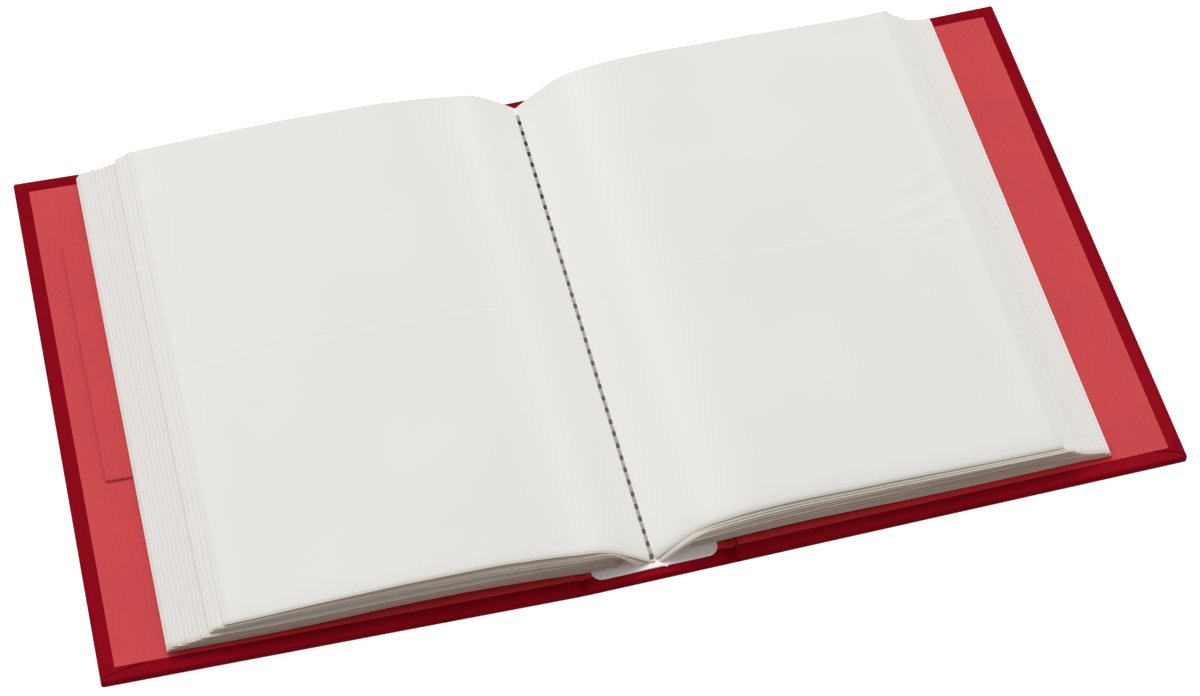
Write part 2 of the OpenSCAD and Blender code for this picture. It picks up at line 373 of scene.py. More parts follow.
class Curve:
    """A leaf's line in the album's cross-section, measured by its own length."""

    def __init__(self, points):
        self.p = np.array(points, float)
        self.s = np.r_[0, np.cumsum(np.hypot(*np.diff(self.p, axis=0).T))]
        self.length = self.s[-1]

    def at(self, s):
        """The places that lie s along the line."""
        return np.interp(s, self.s, self.p[:, 0]), np.interp(s, self.s, self.p[:, 1])

    def normal(self, s, step=0.35):
        """The directions square to the line at s."""
        x0, z0 = self.at(np.clip(s - step, 0, self.length))
        x1, z1 = self.at(np.clip(s + step, 0, self.length))
        run = np.hypot(x1 - x0, z1 - z0)
        return -(z1 - z0) / run, (x1 - x0) / run


# ---- Meshes ----


def piece(name, verts, faces, materials, body=None, uv=None, picks=None, sharp=35.0):
    """Makes a mesh object from points in millimetres."""
    data = bpy.data.meshes.new(name)
    data.from_pydata((np.asarray(verts, float) * MM).tolist(), [], faces)
    if data.validate(verbose=False):
        raise RuntimeError(name + " has a broken mesh")
    for m in materials:
        data.materials.append(m)
    if uv is not None:
        layer = data.uv_layers.new(name="film")
        index = np.empty(len(data.loops), np.int32)
        data.loops.foreach_get("vertex_index", index)
        layer.data.foreach_set("uv", np.asarray(uv, np.float32)[index].ravel())
    if picks is not None:
        data.polygons.foreach_set("material_index", np.asarray(picks, np.int32))
    data.polygons.foreach_set("use_smooth", [True] * len(data.polygons))
    data.set_sharp_from_angle(angle=math.radians(sharp))
    data.update()
    obj = bpy.data.objects.new(name, data)
    bpy.context.scene.collection.objects.link(obj)
    if body:
        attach(obj, body)
    return obj


def grid_faces(rows, cols, start=0, flip=False):
    """Quads of a grid whose points run along its rows."""
    i, j = np.meshgrid(np.arange(rows - 1), np.arange(cols - 1), indexing="ij")
    a = (i * cols + j + start).ravel()
    quads = np.c_[a, a + 1, a + cols + 1, a + cols]
    return (quads[:, ::-1] if flip else quads).tolist()


def turned(faces, flip=True):
    """Faces turned over, or left as they are."""
    return [f[::-1] for f in faces] if flip else faces


def sheet_faces(rows, cols, flip=False):
    """Broad faces and rim of a thin sheet: a grid of upper points, then one of lower points."""
    total = rows * cols
    top, rim = np.arange(total).reshape(rows, cols), []
    for line in (top[0], top[-1][::-1], top[:, -1], top[:, 0][::-1]):
        line = line.tolist()
        rim += turned([[b, a, a + total, b + total] for a, b in zip(line, line[1:])], flip)
    return grid_faces(rows, cols, 0, flip) + grid_faces(rows, cols, total, not flip), rim


def bridge(a, b):
    """Quads between two rings of point numbers."""
    n = len(a)
    return [[a[i], a[(i + 1) % n], b[(i + 1) % n], b[i]] for i in range(n)]


def outline(x0, x1, half_h, inset, radius, round_inner=False):
    """A rectangle in plan with rounded outer corners, drawn inwards by inset."""
    x1, half_h = x1 - inset, half_h - inset
    x0 = x0 + inset if round_inner else x0
    r = max(radius - inset, 0.05)
    inner, outer, low, high = x0 + r, x1 - r, r - half_h, half_h - r
    pts = []
    for cx, cy, start in ((outer, high, 0), (inner, high, 90), (inner, low, 180), (outer, low, 270)):
        if start in (90, 180) and not round_inner:
            # a square corner, which disappears under the cloth or the paper of the joint
            y = math.copysign(half_h, cy)
            pts += [(x0 + 0.02, y), (x0, y)]
        else:
            pts += [(cx + r * math.cos(a), cy + r * math.sin(a)) for a in quarter(CORNER_STEPS, start)]
    return pts


def loft(rings, flip=False, start=0):
    """Points and faces of a closed body that runs through rings of points."""
    verts, ids = [], []
    for ring in rings:
        first = start + len(verts)
        ids.append(list(range(first, first + len(ring))))
        verts += ring
    faces = [ids[0][::-1], ids[-1]]
    for a, b in zip(ids, ids[1:]):
        faces += bridge(a, b)
    return verts, turned(faces, flip)


def rounded_slab(x0, x1, half_h, z0, z1, edge, corner, round_inner=False):
    """Points and faces of a slab whose edges and outer corners are rounded."""
    low = [(z0 + edge * (1 - math.sin(a)), edge * (1 - math.cos(a))) for a in quarter(EDGE_STEPS)]
    high = [(z0 + z1 - z, inset) for z, inset in low]
    levels = [(z0, edge + FACE_RING), *reversed(low), *high, (z1, edge + FACE_RING)]
    verts, faces = loft(
        [(x, y, z) for x, y in outline(x0, x1, half_h, inset, corner, round_inner)] for z, inset in levels
    )
    return np.array(verts), faces


def on_side(pts, side):
    """Points drawn for the right half, mirrored for the left."""
    return np.array(pts, float) * (SIGN[side], 1, 1)


def side_faces(faces, side):
    """Faces drawn for the right half, turned over for the left."""
    return turned(faces, side == "left")


def lifted(pts, side):
    """Cover sizes (distance from the joint, y, height over the underside) to places on the right."""
    pts, tilt = np.array(pts, float), TILT[side]
    d, h = pts[:, 0].copy(), pts[:, 2] - JOINT_Z
    pts[:, 0] = JOINT_X + d * math.cos(tilt) - h * math.sin(tilt)
    pts[:, 2] = JOINT_Z + d * math.sin(tilt) + h * math.cos(tilt)
    return pts


def on_cover(pts, side):
    """Cover sizes to album places."""
    return on_side(lifted(pts, side), side)


def cover_piece(name, pts, faces, material, side):
    """A piece drawn in cover sizes, which rides on a cover."""
    return piece(name, on_cover(pts, side), side_faces(faces, side), [material], COVER_OF[side] + "_cover")


def through_joint(d, height, share, side):
    """A line across a joint: level on the spine, and as the cover lies at its far end."""
    flat, z = np.zeros_like(d), np.full_like(d, height)
    low, high = np.c_[d, flat, z], lifted(np.c_[d - JOINT_X, flat, z], side)
    return lerp(low, high, ease(share)[:, None])


def bend_at_joint(obj):
    """Bakes a piece's place into its points, in the album's frame."""
    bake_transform(obj)


# ---- Materials ----


class Nodes:
    """Fills an empty node tree."""

    def __init__(self, tree):
        self.tree = tree
        tree.nodes.clear()

    def feed(self, socket, value):
        """Links an output to a socket, or sets the socket to a constant."""
        if isinstance(value, bpy.types.NodeSocket):
            self.tree.links.new(value, socket)
        else:
            socket.default_value = value

    def node(self, kind, *feeds, props=None, **sockets):
        """Adds a node and feeds its first inputs in order and the others by name."""
        n = self.tree.nodes.new(kind)
        for key, value in (props or {}).items():
            setattr(n, key, value)
        for socket, value in zip(n.inputs, feeds):
            self.feed(socket, value)
        for key, value in sockets.items():
            self.feed(n.inputs[key.replace("_", " ")], value)
        return n

    def math(self, operation, a, b=0.0):
        """One step of arithmetic."""
        return self.node("ShaderNodeMath", a, b, props={"operation": operation}).outputs[0]


class Shade(Nodes):
    """A node material built round one Principled shader."""

    def __init__(self, name, **constants):
        self.mat = bpy.data.materials.get(name) or bpy.data.materials.new(name)
        self.mat.use_nodes = True
        super().__init__(self.mat.node_tree)
        self.bsdf = self.node("ShaderNodeBsdfPrincipled", **constants)
        self.node("ShaderNodeOutputMaterial", self.bsdf.outputs[0])

    def place(self):
        """The place on the piece, in metres."""
        return self.node("ShaderNodeTexCoord").outputs["Object"]

    def parts(self, vector):
        """The three parts of a vector."""
        return self.node("ShaderNodeSeparateXYZ", Vector=vector).outputs

    def stretched(self, vector, scale):
        """A vector scaled along each axis."""
        return self.node("ShaderNodeMapping", Vector=vector, Scale=scale).outputs[0]

    def noise(self, vector, scale, detail=3.0, rough=0.55):
        """Cloudy noise with so many lumps to a metre."""
        n = self.node("ShaderNodeTexNoise", Vector=vector, Scale=scale, Detail=detail, Roughness=rough)
        return n.outputs["Fac"]

    def band(self, value, low, high, to_low=0.0, to_high=1.0):
        """A smooth step from one level to another while the value goes from low to high."""
        limits = {"From_Min": low, "From_Max": high, "To_Min": to_low, "To_Max": to_high}
        kind = {"interpolation_type": "SMOOTHSTEP"}
        return self.node("ShaderNodeMapRange", props=kind, Value=value, **limits).outputs[0]

    def mix(self, factor, a, b):
        """A colour between two others."""
        n = self.node("ShaderNodeMix", props={"data_type": "RGBA"})
        for socket, value in zip((n.inputs[0], n.inputs[6], n.inputs[7]), (factor, a, b)):
            self.feed(socket, value)
        return n.outputs[2]

    def vary(self, base, value, low, high, dark, light):
        """A colour that goes from a darker to a lighter tint of its own."""
        return self.mix(self.band(value, low, high), tint(base, dark), tint(base, light))

    def over(self, under, where, share, top):
        """Another colour laid over one in a place, with a share of its strength."""
        return self.mix(self.math("MULTIPLY", where, share), under, top)

    def bump(self, height, distance, strength, **normal):
        """Relief without a change of shape."""
        return self.node(
            "ShaderNodeBump", Height=height, Strength=strength, Distance=distance, **normal
        ).outputs[0]

    def finish(self, colour, normal, rough=None):
        """Feeds the shader and gives the material."""
        for key, value in (("Base Color", colour), ("Normal", normal), ("Roughness", rough)):
            if value is not None:
                self.feed(self.bsdf.inputs[key], value)
        return self.mat


def tint(base, *factors):
    """A colour made lighter or darker, by one factor or by one for each channel."""
    return (*(min(1.0, c * f) for c, f in zip(base, factors * 3)), 1.0)


def cloth_material():
    """Woven book cloth: fine crossing threads, a little mottled, lighter at the sharp edges, partly from wear
    and partly as a painted highlight.
    """
    case = settings("case")
    s = Shade(
        "book_cloth", Roughness=0.8, Specular_IOR_Level=0.03,
        Sheen_Weight=0.05, Sheen_Roughness=0.4, Sheen_Tint=(0.5, 0.02, 0.05, 1),
    )
    place = s.place()
    turns = 2 * math.pi / case.weave_pitch
    x, y, z = s.parts(place)
    warp = s.math("SINE", s.math("MULTIPLY", s.math("ADD", x, z), turns))
    weft = s.math("SINE", s.math("MULTIPLY", s.math("SUBTRACT", y, z), turns))
    weave = s.math("MULTIPLY", warp, weft)
    slub = s.noise(place, 900.0, 4.0)
    mottle = s.noise(place, 38.0, 5.0, 0.6)
    height = s.math("ADD", s.math("MULTIPLY", weave, 0.5), s.math("MULTIPLY", slub, 1.3))
    base = tuple(case.cloth_colour)
    threads = s.vary(base, height, -0.2, 1.4, 0.80, 1.16)
    body = s.mix(s.band(mottle, 0.35, 0.7), threads, s.mix(0.55, threads, tint(base, 1.22)))
    # lighter at the sharp edges: partly wear, partly a painted highlight where the edges catch the light
    rubbed_and_lit = s.band(s.node("ShaderNodeNewGeometry").outputs["Pointiness"], 0.52, 0.62, 0.0, 0.35)
    worn_and_lit = s.mix(rubbed_and_lit, body, (*case.worn_and_lit_colour, 1.0))
    rough = s.band(slub, 0.2, 0.8, 0.70, 0.86)
    return s.finish(worn_and_lit, s.bump(height, 0.00006, 0.7), rough)


def paper_material():
    """Coral endpaper: matte, with a fine felt grain and faint clouds, and painted shade along the tail under
    the leaves.
    """
    base = tuple(settings("case").coral)
    s = Shade("coral_paper", Roughness=0.85, Specular_IOR_Level=0.05)
    place = s.place()
    grain = s.noise(place, 1500.0, 5.0, 0.65)
    clouds = s.noise(place, 22.0, 4.0)
    fibre = s.noise(s.stretched(place, (1.0, 0.22, 1.0)), 700.0, 3.0, 0.6)
    body = s.vary(base, clouds, 0.3, 0.72, 0.955, 1.035)
    flecked = s.mix(s.band(grain, 0.35, 0.75, 0.0, 0.5), body, tint(base, 1.12))
    lined = s.mix(s.band(fibre, 0.5, 0.8, 0.0, 0.35), flecked, tint(base, 0.88))
    # painted shade: along the tail, under the leaves, the paper turns a darker, deeper red, darkest towards
    # the leaves and lighter at its edge
    x, y, _ = s.parts(place)
    end, fade = ([-PAPER_HALF_H * MM + v for v in limits] for limits in (PAINTED_SHADE_END, PAINTED_SHADE_FADE))
    covered = s.band(s.math("ABSOLUTE", x), *PAINTED_SHADE_SIDE, 1.0, 0.0)
    near_tail = s.math("MULTIPLY", covered, s.band(y, *end, 1.0, 0.0))
    painted_shade = s.mix(s.band(y, *fade), tint(base, 1.12, 0.50, 0.62), tint(base, 0.66, 0.20, 0.30))
    with_painted_shade = s.mix(near_tail, lined, painted_shade)
    height = s.math("ADD", grain, s.math("MULTIPLY", fibre, 0.6))
    return s.finish(with_painted_shade, s.bump(height, 0.00003, 0.55), s.band(grain, 0.3, 0.8, 0.74, 0.9))


def film_material(name, ribs=True, tail_tint_reach=0.0016):
    """Frosted pocket film: ribbed weld at the tail, weld across the middle and a welded fore-edge, with
    painted light and shade at its jutting edges, its ribs and the gutter.
    """
    leaf = settings("leaf")
    base = tuple(leaf.film_colour)
    s = Shade(name, Roughness=0.55, Specular_IOR_Level=0.22)
    across, up, _ = s.parts(s.node("ShaderNodeUVMap", props={"uv_map": "film"}).outputs[0])
    wide, tall = LEAF_W * MM, LEAF_H * MM
    flat = s.node("ShaderNodeCombineXYZ", X=across, Y=up).outputs[0]
    clouds = s.noise(flat, 14.0, 3.0)
    frost = s.noise(flat, 2600.0, 3.0, 0.6)
    body = s.vary(base, clouds, 0.3, 0.72, 0.985, 1.012)
    # the film is paler where fewer leaves lie under it, near the fore-edge
    body = s.over(body, s.band(across, wide - 0.013, wide - 0.006), 0.40, tint(base, 1.03))
    # painted light: the film is paler where it turns down into the gutter, where its slopes fall into shade
    body = s.mix(s.band(across, 0.012, 0.048, 1.0, 0.0), body, tint(base, 1.09))
    # painted shade: each leaf that juts out shows a dimmer strip, the shade of the leaf above; then a bright
    # line along its welded edge, partly the weld and partly a painted highlight
    painted_shade_strip = s.band(across, wide - 0.0026, wide - 0.0012)
    body = s.over(body, painted_shade_strip, 0.75, tint(base, 0.95, 0.93, 0.93))
    seal_and_highlight = s.band(across, wide - 0.00055, wide - 0.00035)
    body = s.over(body, seal_and_highlight, 0.8, tint(base, 1.06))
    # weld across the middle
    from_middle = s.math("ABSOLUTE", s.math("SUBTRACT", up, tall * MIDDLE_WELD))
    middle = s.band(from_middle, 0.00025, 0.0008, 1.0, 0.0)
    body = s.over(body, middle, 0.22, tint(base, 1.05))
    # ribs of the tail weld: a painted highlight on their crests and painted shade between them
    tail = s.band(up, leaf.weld_h, leaf.weld_h + 0.0003, 1.0, 0.0)
    wave = s.math("SINE", s.math("MULTIPLY", across, 2 * math.pi / leaf.rib_pitch))
    ribbed = s.math("MULTIPLY", tail, s.band(wave, -0.5, 0.7))
    body = s.over(body, ribbed, 0.55, tint(base, 1.12))
    body = s.over(body, s.math("SUBTRACT", tail, ribbed), 0.30, tint(base, 0.86))
    # the tail edge is drawn darker and warmer
    body = s.over(body, s.band(up, 0.0003, tail_tint_reach, 1.0, 0.0), 0.75, tint(base, 0.78, 0.70, 0.60))
    relief = s.math("ADD", s.math("MULTIPLY", ribbed, 1.0 if ribs else 0.2), s.math("MULTIPLY", middle, -0.5))
    normal = s.bump(frost, 0.000006, 0.5, Normal=s.bump(relief, 0.00006, 0.6))
    return s.finish(body, normal, s.band(frost, 0.3, 0.8, 0.50, 0.62))


def rim_material(name, base):
    """Cut edge of the film, in faint bars of its colour; the darker, browner edges of the side sections are
    painted shade.
    """
    s = Shade(name, Roughness=0.5, Specular_IOR_Level=0.25)
    place = s.place()
    bars = s.noise(s.stretched(place, (0.12, 1.0, 5.0)), 520.0, 3.0)
    fine = s.noise(place, 1400.0, 2.0)
    body = s.vary(base, bars, 0.3, 0.7, 0.80, 1.14)
    body = s.mix(s.band(fine, 0.4, 0.7, 0.0, 0.35), body, tint(base, 1.2))
    return s.finish(body, s.bump(fine, 0.00002, 0.4))


def plate_material():
    """Moulded white plate, satin with a fine grain."""
    s = Shade("white_plate", Roughness=0.42, Specular_IOR_Level=0.4)
    place = s.place()
    grain = s.noise(place, 1100.0, 4.0)
    clouds = s.noise(place, 40.0, 3.0)
    body = s.vary(tuple(settings("binding").plate_colour), clouds, 0.3, 0.7, 0.965, 1.03)
    return s.finish(body, s.bump(grain, 0.00002, 0.4), s.band(grain, 0.3, 0.75, 0.36, 0.5))


def thread_material(name, base, dark=False):
    """Twisted sewing thread, or the shade inside a needle slot."""
    s = Shade(name, Roughness=0.85 if dark else 0.6, Specular_IOR_Level=0.15 if dark else 0.35)
    place = s.place()
    x, y, _ = s.parts(place)
    slant = s.math("ADD", y, s.math("MULTIPLY", x, 1.4))
    twist = s.math("SINE", s.math("MULTIPLY", slant, 2 * math.pi / 0.00055))
    fuzz = s.noise(place, 2400.0, 3.0)
    body = s.vary(base, twist, -0.8, 0.8, 0.74, 1.2)
    body = s.mix(s.band(fuzz, 0.4, 0.7, 0.0, 0.4), body, tint(base, 1.35))
    if dark:
        # painted shade: the slots are darker towards the head, where they open wider and deeper
        body = s.mix(s.band(y, 0.025, 0.07, 0.0, 0.8), body, tint(base, 0.22))
    return s.finish(body, s.bump(s.math("ADD", twist, fuzz), 0.00005, 0.6))


def board_material():
    """Raw grey board with paper flecks."""
    s = Shade("grey_board", Roughness=0.9, Specular_IOR_Level=0.15)
    fleck = s.noise(s.place(), 1300.0, 5.0, 0.7)
    body = s.vary(tuple(settings("case").board_colour), fleck, 0.35, 0.7, 0.82, 1.15)
    return s.finish(body, s.bump(fleck, 0.00005, 0.6))


def dress_node(name, material):
    """Gives a solid of the album a finish and leaves its shape."""
    data = frame["nodes"][name].data
    data.materials.clear()
    data.materials.append(material)


# ---- How the leaves lie ----


def cover_line(d, side):
    """Height over the table of the surface that a side section lies on."""
    rest = PAPER_TOP + UNDER_SECTION[side]
    return JOINT_Z + (rest - JOINT_Z) / math.cos(TILT[side]) + (d - JOINT_X) * math.tan(TILT[side])


def base_z(d, side):
    """Underside of a side section at a distance from the spine's middle."""
    start = max(LEAF_FLOOR, cover_line(JOINT_X, side))
    drop = max(0.0, LEAF_FLOOR - cover_line(JOINT_X, side))
    slump = drop * np.clip((2 * JOINT_X - d) / JOINT_X, 0, 1)
    return np.where(d <= JOINT_X, start, cover_line(d, side) + slump)


def along(d):
    """0 at a leaf's fold and 1 at its fore-edge."""
    return ramp(d, SECTION_PITCH, LEAF_W)


def side_pitch(d, side):
    """Distance from one leaf of a side section to the next."""
    return lerp(ROOT_PITCH[side], FORE_PITCH, along(d))


def cluster(layer, spread_mm):
    """Leaves lie in loose bundles of three, with more air between the bundles."""
    return (0.5 - ((layer + 1) % 3) / 2) * 2 * spread_mm


def side_z(d, layer, side):
    """Height of a leaf of a side section, counted from the lowest, on a stack that lies flat."""
    return base_z(d, side) + (layer + 0.5) * side_pitch(d, side) + cluster(layer, SIDE_AIR)


def centre_run_z(d, leaf, side):
    """Height of a leaf of the centre section, counted from the top, on a stack that lies flat."""
    pitch = lerp(CENTRE_PITCH[side], CENTRE_FORE_PITCH, along(d))
    lower = base_z(d, side) + 2 * SHEETS * side_pitch(d, side)
    return lower + SECTION_GAP + (LEAVES - leaf + 0.5) * pitch


def bowed(layer, d, side):
    """Rise of a leaf, counted from the lowest, over a stack that lies flat."""
    return eased(BOW[side], d) * (1 - layer / (2 * SHEETS + LEAVES - 1))


def centre_curve(leaf, side):
    """Leaf 1 of the centre section is the top one. The line runs from its fold outwards."""
    root, low = ROOT_X + (leaf - 1) * ROOT_STEP, LEAF_FLOOR + LEAF_T / 2
    reach = lerp(*GUTTER_W, (leaf - 1) / max(1, LEAVES - 1))
    if leaf == 1:
        root, low = TOP_ROOT_X, FOLD_HI[2]
    # close steps in the gutter, wider ones to beyond the fore-edge
    d = np.r_[np.linspace(root, 30, 140), np.linspace(30.5, 175, 150)]
    full = np.sin(np.pi / 2 * np.minimum(1, (d - root) / reach))
    z = lerp(low, centre_run_z(d, leaf, side), full)
    z = z + eased(ARCH[side], d) * (1 - (leaf - 1) / LEAVES) + cluster(LEAVES - leaf, CENTRE_AIR) * full
    z = z + bowed(2 * SHEETS + LEAVES - leaf, d, side) * full
    curve = Curve(np.c_[d, z])
    return Curve(np.r_[curve.p[curve.s <= LEAF_W], [curve.at(LEAF_W)]])


def sheet_curve(sheet, side):
    """A folded sheet: from the lower leaf's fore-edge, round its fold, to the upper leaf's."""
    low, high = sheet - 1, 2 * SHEETS - sheet
    z_low, z_high = (float(side_z(np.float64(FOLD_X), n, side)) for n in (low, high))
    r = (z_high - z_low) / 2
    out = np.linspace(FOLD_X, SECTION_PITCH + LEAF_W, 170)
    lower = np.c_[out, side_z(out, low, side) + bowed(low, out, side)][::-1]
    a = np.radians(np.linspace(0, 180, 26)[1:-1])
    fold = np.c_[FOLD_X - r * np.sin(a), z_low + r - r * np.cos(a)]
    # the leaf that runs back is shorter by what its fold takes up
    back = np.linspace(FOLD_X, FOLD_X + LEAF_W - FOLD_INSET - math.pi * r, 170)
    upper = np.c_[back, side_z(back, high, side) + bowed(high, back, side)]
    fold_s = SECTION_PITCH + LEAF_W - FOLD_X + math.pi * r / 2
    return Curve(np.r_[lower, fold, upper]), fold_s


def leaf_rows(fine=False):
    """Heights of a leaf's rows over its tail edge."""
    leaf = settings("leaf")
    weld, r, middle = mm(leaf.weld_h), mm(leaf.corner_round), LEAF_H * MIDDLE_WELD
    # one stretch is one row where the step is longer than it
    step, whole = 2.2 if fine else 9.0, 9
    edges = [0, 0.25 * r, 0.6 * r, r, weld, weld + 0.3, 4.5, 7.5, middle - 0.8, middle, middle + 0.8]
    edges += [LEAF_H - r, LEAF_H - 0.6 * r, LEAF_H - 0.25 * r, LEAF_H]
    return spread(edges, [whole] * 3 + [0.8] + [whole] * 3 + [step, whole, whole, step] + [whole] * 3)


def film_sheet(
    name, curve, side, cols, rows, tail, thick, materials,
    lift=None, fold_s=0.0, ribs=0.0, jut=(0, 0), slip=None, trim=0.0, sag=0.0,
):
    """A leaf or folded sheet of film with rounded fore-edge corners and, if asked, a ribbed tail."""
    leaf = settings("leaf")
    r, weld = mm(leaf.corner_round), mm(leaf.weld_h)
    s, v = np.meshgrid(cols, rows)
    near = np.minimum(v, LEAF_H - v)
    inset = r - np.sqrt(np.maximum(0, r * r - np.square(np.maximum(0, r - near))))
    edge = curve.length - r
    s = np.where(s > edge, edge + (s - edge) * (r - inset) / r, s)
    if fold_s:
        s = np.where(s < r, r - (r - s) * (r - inset) / r, s)
    x, z = curve.at(s)
    nx, nz = curve.normal(s)
    # how far each point lies from the fold
    u = np.abs(s - fold_s)
    if fold_s:
        trim = trim * ramp(LEAF_W - u, 0, TRIM_RUN)
    x = x + np.where(s >= fold_s, jut[1] * u / (curve.length - fold_s), jut[0] * u / max(fold_s, 1))
    y = tail + trim + v * (1 - trim / LEAF_H) + (eased(slip, u) if slip else 0.0)
    # pockets are plump near the spine and flat at the fore-edge
    plump = np.minimum(thick, lerp(thick, mm(leaf.film_t), ramp(u, PLUMP_END, PLUMP_RUN)))
    if sag:
        plump = lerp(DROOP_T, plump, ramp(v, 0, weld))
    rise = (lift(u, v) if lift else 0.0) - sag * np.square(1 - ramp(v, 0, DROOP_H))
    wave = np.sin(2 * np.pi * u / mm(leaf.rib_pitch)) * ribs * (v < weld + 0.01)
    verts = []
    for sign in (1, -1):
        off = sign * plump / 2 + rise + sign * wave
        verts.append(np.stack([x + nx * off, y, z + nz * off], -1).reshape(-1, 3))
    pts = on_side(np.concatenate(verts), side)
    if not fold_s:
        # the leaves of the centre section follow their seam
        pts[:, 0] -= mm(settings("binding").seam_shift) * bell(pts[:, 0], SEAM_PULL)
    faces, rim = sheet_faces(*s.shape)
    picks = [0] * len(faces) + [1] * len(rim)
    from_edge = np.where(s >= fold_s, curve.length - s, s)
    uv = np.stack([(LEAF_W - from_edge) * MM, v * MM], -1).reshape(-1, 2)
    faces = side_faces(faces + rim, side)
    return piece(name, pts, faces, materials, uv=np.r_[uv, uv], picks=picks, sharp=50)


# ---- Operators ----


class ALBUM_OT_case(Operator):
    """Wrap the boards in book cloth and lay the cloth through the joints"""

    bl_idname = "album.case"
    bl_label = "Case"

    def execute(self, context):
        cloth, board = cloth_material(), board_material()
        case = settings("case")
        edge, corner, top = mm(case.edge_round), mm(case.corner_round), CASE_T + PROUD
        for name in ("spine_board", "spine_lining"):
            dress_node(name, board)
        for side in SIDES:
            cover = COVER_OF[side]
            dress_node(cover + "_board", board)
            dress_node(cover + "_infill", board)
            pts, faces = rounded_slab(BOARD_IN - COVER_LAP, COVER_W, COVER_HALF_H, 0, top, edge, corner)
            # the long edges of a board covered by hand are never quite straight
            pts[:, 0] += WAVER * np.sin(pts[:, 1] / WAVER_L) * (pts[:, 0] > COVER_W - WAVER_W)
            skin = cover_piece(cover + "_cover_cloth", pts, faces, cloth, side)
            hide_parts(cover + "_cloth")
            for end in (1, -1):
                self.corner_fold(side, end, cloth)
            self.joint(side, cloth, edge)
        half = SPINE_HALF + SPINE_LAP
        pts, faces = rounded_slab(-half, half, COVER_HALF_H, 0, top, edge, 0.3)
        skin = piece("spine_cover_cloth", pts, faces, [cloth], "spine")
        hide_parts("spine_cloth")
        return {"FINISHED"}

    def corner_fold(self, side, end, cloth):
        """The fore-edge turn-in laps over the one along head or tail, along a shallow mitre."""
        case = settings("case")
        reach, t = mm(case.mitre_reach) * MITRE_SHARE[side], mm(case.mitre_t)
        n, m = 16, 6
        # the fold keeps off the rounded edges of the board
        fore, tail = COVER_W - 0.5, COVER_HALF_H - 0.45
        verts = []
        for i in range(n + 1):
            a = (i / n) ** 1.6
            # the mitre runs from the corner to the endpaper's edge in a rounded sweep
            x = fore - a * (reach - 0.5)
            y = lerp(tail, PAPER_HALF_H + PROUD, a ** 0.45)
            # and the flap comes from the fore-edge, and from under the endpaper
            inner = PAPER_HALF_H + 0.015
            if x >= PAPER_W + 0.05:
                inner = PAPER_HALF_H - 6 * (x - PAPER_W) / (fore - PAPER_W)
            inner = min(inner, y - 0.004)
            # it is thickest at the mitre and thins out towards both ends
            thinned = min(1, 0.25 + 6 * a, 0.35 + 4 * (1 - a))
            for k in range(m + 1):
                b = k / m
                swell = t * (0.12 + 0.88 * math.sin(math.pi / 2 * b)) * thinned
                verts.append((x, lerp(inner, y, b) * end, CASE_T - 0.02 + swell))
        # its underside is sunk in the board's cloth
        verts += [(x, y, CASE_T - 0.3) for x, y, _ in verts]
        faces, rim = sheet_faces(n + 1, m + 1, flip=end < 0)
        name = f"{COVER_OF[side]}_{'head' if end > 0 else 'tail'}_corner_fold"
        flap = cover_piece(name, verts, faces + rim, cloth, side)

    def joint(self, side, cloth, edge):
        """Cloth pressed down between the spine and a cover, thick with its turn-in."""
        across = np.linspace(-1, 1, 21)
        d = JOINT_X + across * JOINT_HALF
        dip = np.power(np.cos(np.pi / 2 * across), 1.3)
        under, over = (
            through_joint(d, height, ramp(across * 0.5, -0.5, 1), side) + np.c_[0 * d, 0 * d, depth * dip]
            for height, depth in ((0.0, UNDER_GROOVE), (CASE_T + PROUD, -GROOVE[side]))
        )
        # at head and tail the cloth is drawn in over a quarter round
        drawn = [
            (COVER_HALF_H - edge * (1 - math.sin(a)), 1 - edge * (1 - math.cos(a)) / (CASE_T / 2))
            for a in quarter(EDGE_STEPS)
        ]
        straight = [(y, 1.0) for y in np.linspace(-108, 108, 25)]
        rows = [(-y, share) for y, share in drawn] + straight + drawn
        middle = (under + over) / 2
        rings = []
        for y, share in sorted(rows):
            ring = np.r_[middle + (under - middle) * share, (middle + (over - middle) * share)[::-1]]
            ring[:, 1] = y
            rings.append(ring.tolist())
        verts, faces = loft(rings, flip=True)
        obj = piece(COVER_OF[side] + "_joint", on_side(verts, side), side_faces(faces, side), [cloth])
        bend_at_joint(obj)
        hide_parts(COVER_OF[side] + "_joint_cloth")


